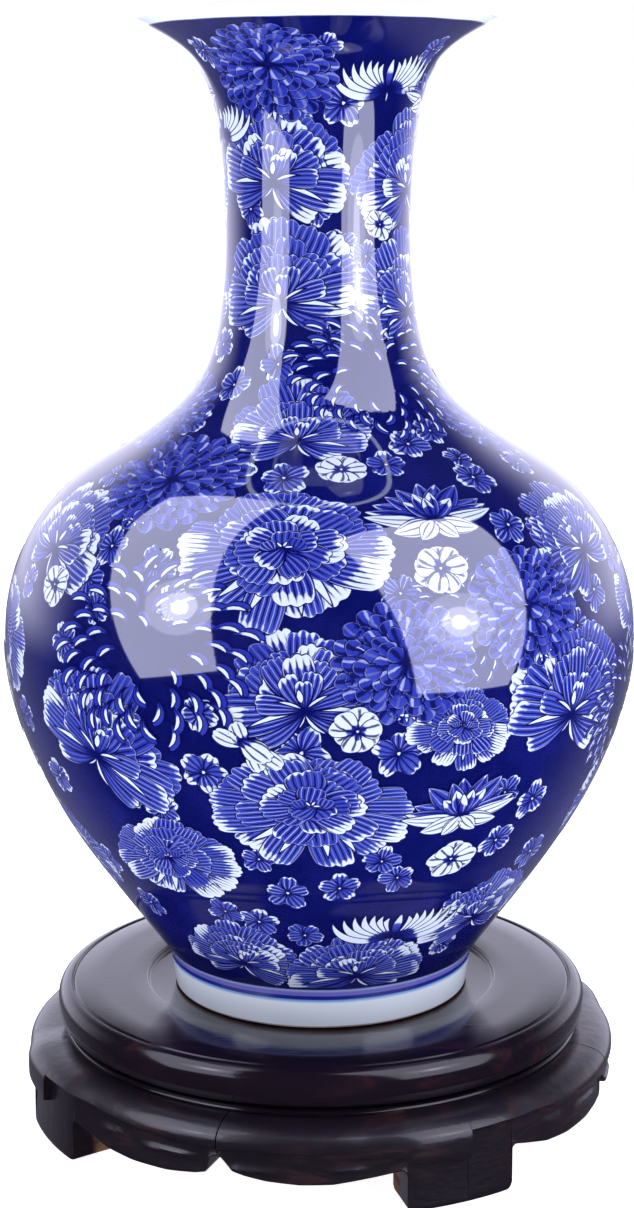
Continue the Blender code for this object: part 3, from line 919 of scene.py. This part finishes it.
# Raised curls along the apron: degrees from the foot's middle, half length in degrees, and height
CURLS = ((-38.0, 6.5, 14.6), (34.5, 7.5, 16.6), (22.0, 3.5, 18.2), (-22.0, 5.0, 15.6))
CURL_HEIGHT = 0.9
CURL_WIDTH = 0.8


def lacquer_look(name, colours, grain):
    """Dark brown lacquer over wood, thinner and redder along its grain and wear."""
    look = Look(name, Roughness=0.2, IOR=1.5, Coat_Weight=0.2, Coat_Roughness=0.07)
    look.shader.inputs["Specular IOR Level"].default_value = 0.4
    fibre = look.noise(55.0, detail=6.0, roughness=0.65, stretch=grain, distortion=0.8)
    pore = look.noise(420.0, detail=2.0, stretch=grain)
    cloud = look.noise(16.0, detail=3.0)
    red = fibre.rise(0.50, 0.72) * cloud.rise(0.38, 0.66)
    colour = look.mix(red * 0.8, tuple(colours.lacquer), tuple(colours.thin_lacquer))
    colour = look.mix(pore.rise(0.62, 0.72) * 0.4, colour, (0.004, 0.002, 0.004))
    look.link("Base Color", colour)
    look.link("Roughness", 0.07 + cloud * 0.12 + pore.rise(0.5, 0.8) * 0.08)
    look.bump(fibre * 0.6 + pore.rise(0.55, 0.75) * -0.4, 0.08, 0.0003)
    return look.material


def carved_look(colours):
    """The carved base: lacquer outside, and bare sawn wood inside its ring."""
    look = Look("carved_lacquer", Roughness=0.25, IOR=1.5)
    x, y, z = look.parts(look.place())
    radius = (x * x + y * y).root() / MM
    fibre = look.noise(60.0, detail=6.0, roughness=0.65, stretch=(1.0, 1.0, 5.0), distortion=0.8)
    chisel = look.noise(260.0, detail=3.0, stretch=(1.0, 1.0, 2.2))
    cloud = look.noise(18.0, detail=3.0)
    inside = (radius + cloud * 3.0).rise(97.0, 93.5) * (z / MM).rise(21.5, 19.5)
    red = fibre.rise(0.48, 0.70) * cloud.rise(0.36, 0.64)
    colour = look.mix(red, tuple(colours.lacquer), tuple(colours.thin_lacquer))
    bare = look.mix(fibre.rise(0.35, 0.70), tuple(colours.bare_wood), (0.055, 0.018, 0.010))
    look.link("Base Color", look.mix(inside, colour, bare))
    look.link("Roughness", 0.30 + inside * 0.30 + cloud * 0.12)
    look.link("Coat Weight", (1.0 - inside) * 0.35)
    look.shader.inputs["Coat Roughness"].default_value = 0.10
    look.bump(fibre * 0.4 + chisel * 0.8, 0.45, 0.0005)
    return look.material


def beech_look():
    """Plain beech for the dowels."""
    look = Look("beech_dowel_wood", Roughness=0.6)
    grain = look.noise(240.0, detail=5.0, stretch=(1.0, 1.0, 0.3))
    fleck = look.noise(900.0, detail=2.0)
    colour = look.mix(grain.rise(0.35, 0.7), (0.56, 0.38, 0.22), (0.36, 0.21, 0.11))
    look.link("Base Color", look.mix(fleck.rise(0.6, 0.7) * 0.5, colour, (0.22, 0.12, 0.06)))
    look.bump(grain, 0.4, 0.0002)
    return look.material


def zinc_look():
    """Zinc plating for the screws, with fine scratches along them."""
    look = Look("zinc_plated_steel", Metallic=1.0, Roughness=0.35)
    haze = look.noise(350.0, detail=4.0)
    scratch = look.noise(900.0, detail=2.0, stretch=(1.0, 1.0, 0.1))
    look.link("Base Color", look.mix(haze.rise(0.35, 0.7), (0.62, 0.61, 0.57), (0.44, 0.42, 0.36)))
    look.link("Roughness", 0.26 + haze * 0.2 + scratch.rise(0.55, 0.7) * 0.15)
    look.bump(scratch, 0.3, 0.0001)
    return look.material


def top_profile():
    """The turned top: recess, flat, groove and round edge, from the middle outwards and back."""
    shoulder = TOP_RADIUS - BEAD_REACH
    hollow = arc((RECESS_RADIUS - 1.0, RECESS_FLOOR + 1.0), 1.0, 1.0, -90.0, 0.0, 4)
    lip = arc((RECESS_RADIUS + 0.7, TOP_HIGH - 0.7), 0.7, 0.7, 180.0, 90.0, 4)
    groove = [(GROOVE_RADIUS + across, TOP_HIGH + rise) for across, rise in GROOVE]
    upper = arc((shoulder, TOP_HIGH - BEAD_DROP), BEAD_REACH, BEAD_DROP, 90.0, 0.0, 12)
    lower = arc((shoulder, TOP_LOW + BEAD_DROP), BEAD_REACH, BEAD_DROP, 0.0, -90.0, 12)
    rings = [(radius, RECESS_FLOOR) for radius in (0.0, 15.0, 30.0, 45.0)]
    flat = [(radius, TOP_HIGH) for radius in (68.0, 77.0)]
    return rings + hollow + lip + flat + groove + upper + lower + [(60.0, TOP_LOW), (0.0, TOP_LOW)]


def waist_profile():
    """The waist's ring, hollowed a little outside."""
    upper, lower = TOP_LOW - GAP, BASE_TOP + GAP
    outer = arc((WAIST_RADIUS, (upper + lower) / 2.0), -WAIST_HOLLOW, (upper - lower) / 2.0,
                90.0, -90.0, 8)
    return outer + [(WAIST_INNER, lower), (WAIST_INNER, upper), outer[0]]


def edge_height(offset):
    """Height of a quarter's lower edge, with rounded corners at its foot."""
    away = (abs(offset) - FOOT_HALF) * MM_PER_DEGREE
    if away < 0.0:
        into = max(FOOT_ROUND + away, 0.0)
        return FOOT_ROUND - math.sqrt(FOOT_ROUND ** 2 - into ** 2)
    angles, heights = zip(*LOWER_EDGE)
    height = float(np.interp(offset, angles, heights))
    into = max(APRON_ROUND - away, 0.0)
    return height - APRON_ROUND + math.sqrt(APRON_ROUND ** 2 - into ** 2)


def smooth_step(value):
    """0 up to 0, 1 from 1 and a smooth step between."""
    value = min(max(value, 0.0), 1.0)
    return value * value * (3.0 - 2.0 * value)


def quarter_section(offset):
    """A quarter's cross-section as (radius, height), offset degrees from its foot's middle."""
    bottom = edge_height(offset)
    angles, heights = zip(*COLLAR_EDGE)
    edge = max(float(np.interp(offset, angles, heights)), bottom + 1.5)
    near_foot = smooth_step((FOOT_BLEND[0] - abs(offset)) / FOOT_BLEND[1])
    reach = COLLAR_RADIUS + FOOT_BULGE * near_foot
    top = BASE_TOP + COLLAR_RISE * near_foot
    section = [(LEDGE_INNER, BASE_TOP), (COLLAR_ROOT - 1.5, BASE_TOP)]
    for i in range(COLLAR_ROWS + 1):
        height = top - (top - edge - 0.7) * (i / COLLAR_ROWS) ** 1.9
        share = min(max((height - COLLAR_MIDDLE) / (top - COLLAR_MIDDLE), 0.0), 1.0)
        swell = (1.0 - share ** COLLAR_POWER) ** (1.0 / COLLAR_POWER)
        section.append((COLLAR_ROOT + (reach - COLLAR_ROOT) * swell, height))
    face = BASE_RADIUS + 0.5 * FOOT_BULGE * near_foot
    rim = section[-1][0]
    section += [(rim - 0.2, edge + 0.3), (rim - 0.6, edge + 0.05), (face + 0.2, edge - 0.15)]
    for i in range(APRON_ROWS):
        height = edge - 0.6 + (bottom + 0.9 - edge + 0.6) * i / (APRON_ROWS - 1)
        relief = APRON_FLARE * ((edge - height) / (edge - bottom)) ** 2
        for middle, half, level in CURLS:
            along = smooth_step(1.5 - 1.5 * abs(offset - middle) / half)
            relief += CURL_HEIGHT * along * math.exp(-((height - level) / CURL_WIDTH) ** 2)
        section.append((face + relief, height))
    outer = section[-1][0]
    section += [(outer - 0.25, bottom + 0.3), (outer - 0.9, bottom)]
    section += [(APRON_INNER + 0.8, bottom), (APRON_INNER, bottom + 0.8),
                (APRON_INNER, LEDGE_UNDERSIDE), (LEDGE_INNER, LEDGE_UNDERSIDE)]
    return section


def quarter_columns():
    """Offsets of the cross-sections, closer together where an edge steps or turns."""
    end = 45.0 - JOINT_HALF_GAP
    columns = set(np.arange(-end, end, COLUMN_STEP)) | {end} | COLLAR_STEP
    columns |= set(np.arange(*JOINT_COLUMNS))
    for side in (-1.0, 1.0):
        for reach, way in ((FOOT_ROUND, -1.0), (APRON_ROUND, 1.0)):
            for turn in np.radians(np.linspace(0.0, 90.0, 9)):
                away = 0.01 + reach / MM_PER_DEGREE * (1.0 - math.cos(turn))
                columns.add(side * (FOOT_HALF + way * away))
    return sorted(columns)


def carved_quarter(number, azimuth, look):
    """Loft the changing cross-section round a quarter of the ring."""
    shape = bmesh.new()
    rings = []
    for offset in quarter_columns():
        angle = math.radians(azimuth + offset)
        rings.append([shape.verts.new((radius * math.sin(angle) * MM,
                                       -radius * math.cos(angle) * MM, height * MM))
                      for radius, height in quarter_section(offset)])
    for ring, following in zip(rings, rings[1:]):
        for i in range(len(ring)):
            j = (i + 1) % len(ring)
            shape.faces.new((ring[i], following[i], following[j], ring[j]))
    shape.faces.new(rings[0])
    shape.faces.new(rings[-1])
    bmesh.ops.recalc_face_normals(shape, faces=shape.faces)
    mesh = bpy.data.meshes.new("carved_quarter_%d" % number)
    shape.to_mesh(mesh)
    shape.free()
    quarter = bpy.data.objects.new(mesh.name, mesh)
    bpy.context.scene.collection.objects.link(quarter)
    finish_piece(quarter, STAND_BODY, (look,), ("base_quarter_%d" % number,),
                 sharp=32.0)


class MESH_OT_stand_top(bpy.types.Operator):
    """The turned top with its recess, groove and round edge"""
    bl_idname = "mesh.stand_top"
    bl_label = "Stand top"
    bl_options = {"REGISTER", "UNDO"}

    def execute(self, context):
        look = lacquer_look("turned_lacquer", chosen("stand_look"), (0.35, 3.0, 3.0))
        top = spun("turned_top", top_profile(), FACES_AROUND)
        finish_piece(top, STAND_BODY, (look,), ("stand_top",), sharp=40.0)
        return {"FINISHED"}


class MESH_OT_stand_waist(bpy.types.Operator):
    """The hollow ring between the top and the carved base"""
    bl_idname = "mesh.stand_waist"
    bl_label = "Waist ring"
    bl_options = {"REGISTER", "UNDO"}

    def execute(self, context):
        look = lacquer_look("waist_lacquer", chosen("stand_look"), (1.0, 1.0, 4.0))
        waist = spun("hollow_waist", waist_profile(), FACES_AROUND)
        finish_piece(waist, STAND_BODY, (look,), ("stand_waist",), sharp=40.0)
        return {"FINISHED"}


class MESH_OT_stand_quarters(bpy.types.Operator):
    """The four carved quarters of the base, each with one foot"""
    bl_idname = "mesh.stand_quarters"
    bl_label = "Carved quarters"
    bl_options = {"REGISTER", "UNDO"}

    def execute(self, context):
        look = carved_look(chosen("stand_look"))
        for number, azimuth in enumerate(FOOT_AZIMUTHS, start=1):
            carved_quarter(number, azimuth, look)
        return {"FINISHED"}


class MESH_OT_stand_fasteners(bpy.types.Operator):
    """Finishes for the dowels and screws inside the stand"""
    bl_idname = "mesh.stand_fasteners"
    bl_label = "Dowels and screws"
    bl_options = {"REGISTER", "UNDO"}

    def execute(self, context):
        looks = {"joint_dowel": beech_look(), "top_screw": zinc_look()}
        for name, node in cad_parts.items():
            for start, look in looks.items():
                if name.startswith(start):
                    node.data.materials.clear()
                    node.data.materials.append(look)
        return {"FINISHED"}


# ---------------------------------------------------------------- stage

CAMERA_ACROSS = -0.24
CAMERA_HEIGHT = SEAT + 282.7
CAMERA_PITCH = -11.11             # degrees; below level
CAMERA_ROLL = 0.23
SENSOR = 36.0
FLOOR_SIZE = 30.0                 # metres across
FLOOR_GLOW = 0.95                 # keeps the floor white into the distance
VASE_MIDDLE = Vector((0.0, 0.0, (SEAT + 150.0) * MM))
BOX_DISTANCE = 600.0
STUDIO_COLOUR = (0.90, 0.91, 1.12)
ROOM_COLOUR = (0.80, 0.79, 1.0, 1.0)
WHITE = (1.0, 1.0, 1.0, 1.0)
# Softboxes: the way they face from the vase's middle, as azimuth and elevation in degrees, their
# middle's place across and up from there, width and height in millimetres, and lean in degrees
SOFTBOXES = {
    "softbox_left": (-50.0, 40.0, -175.0, -5.0, 450.0, 1260.0, -19.0),
    "softbox_right": (47.0, 38.0, 60.0, -170.0, 560.0, 1080.0, 3.0),
}
GLOWS = ((-49.5, 22.0), (47.5, 15.5))      # the softboxes' lamps: azimuth and elevation
GLOW_RINGS = ((30.0, 5.0), (60.0, 2.2), (110.0, 1.0))     # radius and added radiance
GLOW_STEP = 30.0                  # each ring is this much nearer than the last
CEILING = (Vector((0.0, 0.1, 1.6)), 1800.0, 1.2)     # middle in metres, size and radiance
FRONT_LEVEL = 0.03                # radiance of the room in front and behind
BACK_LEVEL = 1.9
TOP_LEVEL = 0.03                  # shares of it that are left overhead and below the floor
BELOW_LEVEL = 0.12


def facing(azimuth, elevation, lean=0.0):
    """Axes of a panel that faces the vase from there: across, up its slope, and away from it."""
    a, e, turn = (math.radians(angle) for angle in (azimuth, elevation, lean))
    away = Vector((math.cos(e) * math.sin(a), -math.cos(e) * math.cos(a), math.sin(e)))
    level = Vector((math.cos(a), math.sin(a), 0.0))
    slope = away.cross(level)
    return (level * math.cos(turn) - slope * math.sin(turn),
            slope * math.cos(turn) + level * math.sin(turn), away)


def area_light(name, middle, axes, width, height, radiance, shape="RECTANGLE"):
    """A light that the camera doesn't see; sizes in millimetres."""
    light = bpy.data.lights.new(name, "AREA")
    light.shape = shape
    light.size, light.size_y = width * MM, height * MM
    round_share = 1.0 if shape == "RECTANGLE" else math.pi / 4.0
    light.color = STUDIO_COLOUR
    light.energy = radiance * math.pi * round_share * width * height * MM ** 2
    lamp = bpy.data.objects.new(name, light)
    lamp.matrix_world = Matrix.Translation(middle) @ Matrix(axes).transposed().to_4x4()
    lamp.visible_camera = False
    bpy.context.scene.collection.objects.link(lamp)
    return lamp


def studio_lights(radiance):
    for name, (azimuth, elevation, across, up, width, height, lean) in SOFTBOXES.items():
        level, slope, away = facing(azimuth, elevation)
        middle = VASE_MIDDLE + (away * BOX_DISTANCE + level * across + slope * up) * MM
        area_light(name, middle, facing(azimuth, elevation, lean), width, height, radiance)
    for number, (azimuth, elevation) in enumerate(GLOWS, start=1):
        axes = facing(azimuth, elevation)
        for ring, (radius, added) in enumerate(GLOW_RINGS, start=1):
            middle = VASE_MIDDLE + axes[2] * (BOX_DISTANCE - GLOW_STEP * ring) * MM
            area_light("glow_%d_%d" % (number, ring), middle, axes,
                       2.0 * radius, 2.0 * radius, added, "DISK")
    middle, size, added = CEILING
    ceiling = area_light("ceiling", middle, facing(0.0, 90.0), size, size, added)
    ceiling.visible_glossy = False


def white_surroundings():
    """Plain white to the eye; a bright room behind, and a dim one in front, for light and gloss."""
    world = bpy.data.worlds.new("white_room")
    bpy.context.scene.world = world
    world.use_nodes = True
    surroundings = Nodes(world.node_tree)
    given, links = surroundings.tree.nodes, surroundings.tree.links
    place = surroundings.node("ShaderNodeTexCoord").outputs["Generated"]
    _, depth, height = surroundings.parts(place)
    glow = (depth.ramp(0.10, 0.80, FRONT_LEVEL, BACK_LEVEL)
            * height.ramp(0.25, 0.65, 1.0, TOP_LEVEL) * height.ramp(-0.20, 0.02, BELOW_LEVEL, 1.0))
    room = given["Background"]
    room.inputs["Color"].default_value = ROOM_COLOUR
    links.new(glow.socket, room.inputs["Strength"])
    plain = surroundings.node("ShaderNodeBackground", None, {"Color": WHITE})
    seen = surroundings.node("ShaderNodeLightPath").outputs["Is Camera Ray"]
    choice = surroundings.node("ShaderNodeMixShader", None,
                               {0: seen, 1: room.outputs[0], 2: plain.outputs[0]})
    links.new(choice.outputs[0], given["World Output"].inputs["Surface"])


class SCENE_OT_vase_stage(bpy.types.Operator):
    """White floor and surroundings, two softboxes and the camera"""
    bl_idname = "scene.vase_stage"
    bl_label = "Stage"
    bl_options = {"REGISTER", "UNDO"}

    def execute(self, context):
        stage = chosen("stage_settings")
        scene = bpy.context.scene
        scene.view_settings.view_transform = "Standard"
        camera = bpy.data.objects.new("front_camera", bpy.data.cameras.new("front_camera"))
        camera.data.sensor_width = SENSOR
        camera.data.lens = stage.lens
        camera.data.clip_start = 0.01
        camera.location = Vector((CAMERA_ACROSS, -stage.distance, CAMERA_HEIGHT)) * MM
        camera.rotation_euler = (math.radians(90.0 + CAMERA_PITCH), math.radians(CAMERA_ROLL), 0.0)
        scene.collection.objects.link(camera)
        scene.camera = camera

        bpy.ops.object.select_all(action="DESELECT")
        bpy.ops.mesh.primitive_plane_add(size=FLOOR_SIZE, location=(0.0, 0.0, 0.0))
        floor = bpy.context.object
        floor.name = "white_floor"
        paper = Look("white_paper", Roughness=0.9)
        grain = paper.noise(40.0, detail=3.0)
        paper.link("Base Color", paper.mix(grain.rise(0.3, 0.7),
                                           (0.93, 0.93, 0.94), (0.90, 0.90, 0.92)))
        paper.shader.inputs["Emission Color"].default_value = WHITE
        paper.shader.inputs["Emission Strength"].default_value = FLOOR_GLOW
        floor.data.materials.append(paper.material)
        floor.visible_glossy = False

        white_surroundings()
        studio_lights(stage.softbox)
        return {"FINISHED"}


# ---------------------------------------------------------------- add-on

STEPS = ("mesh.vase_shell", "mesh.vase_flowers", "mesh.vase_blossoms", "mesh.stand_top",
         "mesh.stand_waist", "mesh.stand_quarters", "mesh.stand_fasteners", "scene.vase_stage")


class VIEW3D_PT_vase(bpy.types.Panel):
    """Sidebar list of the vase's pieces and their settings"""
    bl_idname = "VIEW3D_PT_vase"
    bl_label = "Vase"
    bl_space_type = "VIEW_3D"
    bl_region_type = "UI"
    bl_category = "Vase"

    def draw(self, context):
        column = self.layout.column(align=True)
        for step in STEPS:
            column.operator(step)
        for group in GROUPS:
            for name in GROUPS[group].__annotations__:
                self.layout.prop(getattr(context.scene, group), name)


GROUPS = {"vase_look": VaseSettings, "stand_look": StandSettings, "stage_settings": StageSettings}
OPERATORS = (MESH_OT_vase_shell, MESH_OT_vase_flowers, MESH_OT_vase_blossoms, MESH_OT_stand_top,
             MESH_OT_stand_waist, MESH_OT_stand_quarters, MESH_OT_stand_fasteners, SCENE_OT_vase_stage)


def register():
    for group in GROUPS.values():
        bpy.utils.register_class(group)
    for name, group in GROUPS.items():
        setattr(bpy.types.Scene, name, bpy.props.PointerProperty(type=group))
    for operator in OPERATORS:
        bpy.utils.register_class(operator)
    bpy.utils.register_class(VIEW3D_PT_vase)


def unregister():
    bpy.utils.unregister_class(VIEW3D_PT_vase)
    for operator in reversed(OPERATORS):
        bpy.utils.unregister_class(operator)
    for name, group in GROUPS.items():
        delattr(bpy.types.Scene, name)
        bpy.utils.unregister_class(group)


def main():
    register()
    for step in STEPS:
        group, name = step.split(".")
        result = getattr(getattr(bpy.ops, group), name)()
        if "FINISHED" not in result:
            raise RuntimeError("%s didn't finish" % step)


if __name__ == "__main__":
    main()
